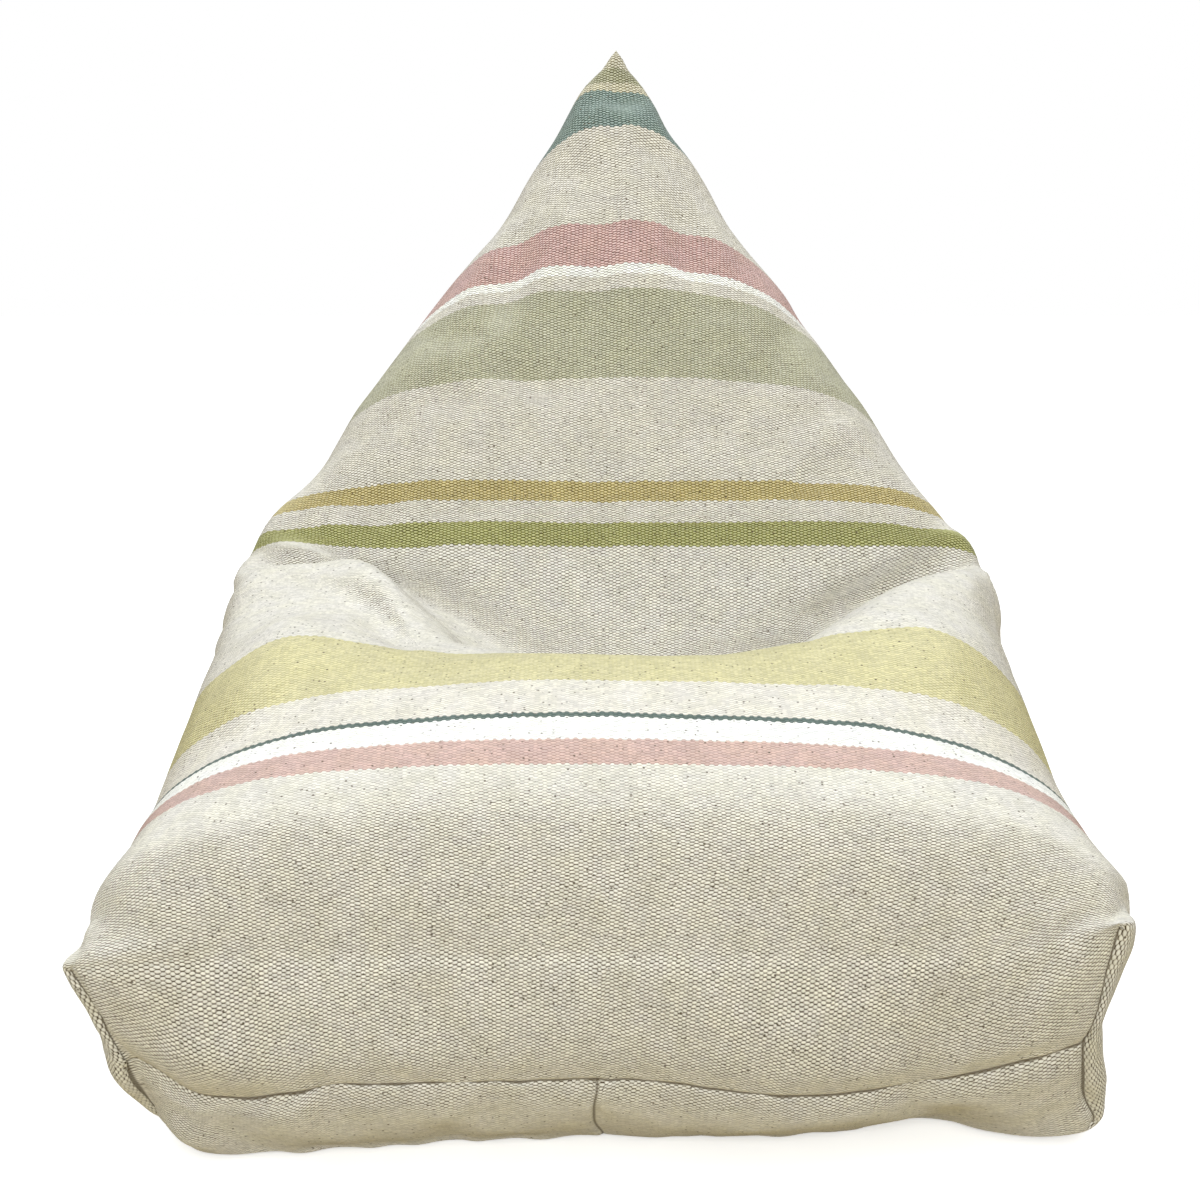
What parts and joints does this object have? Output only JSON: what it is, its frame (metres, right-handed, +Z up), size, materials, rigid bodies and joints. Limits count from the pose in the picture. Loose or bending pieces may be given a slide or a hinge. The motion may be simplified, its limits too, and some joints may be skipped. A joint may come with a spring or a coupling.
{
  "type": "floor pouf",
  "caption": "Loosely filled floor pouf of heavy striped canvas, with a low seat, boxed front corners and a back that rises to a point.",
  "frame": {"origin": "on the floor, under the middle of the footprint", "axes": "+Z up, -Y towards the front seam, where a sitter's legs go, +Y towards the point at the back, +X to the right as seen from the front"},
  "size_m": [0.7383, 1.0276, 0.836],
  "materials": {
    "striped_canvas": "heavy plain-woven cotton, natural with pale woven stripes, matt"
  },
  "bodies": {
    "root": {"filled_cover": "striped_canvas"}
  },
  "joints": []
}
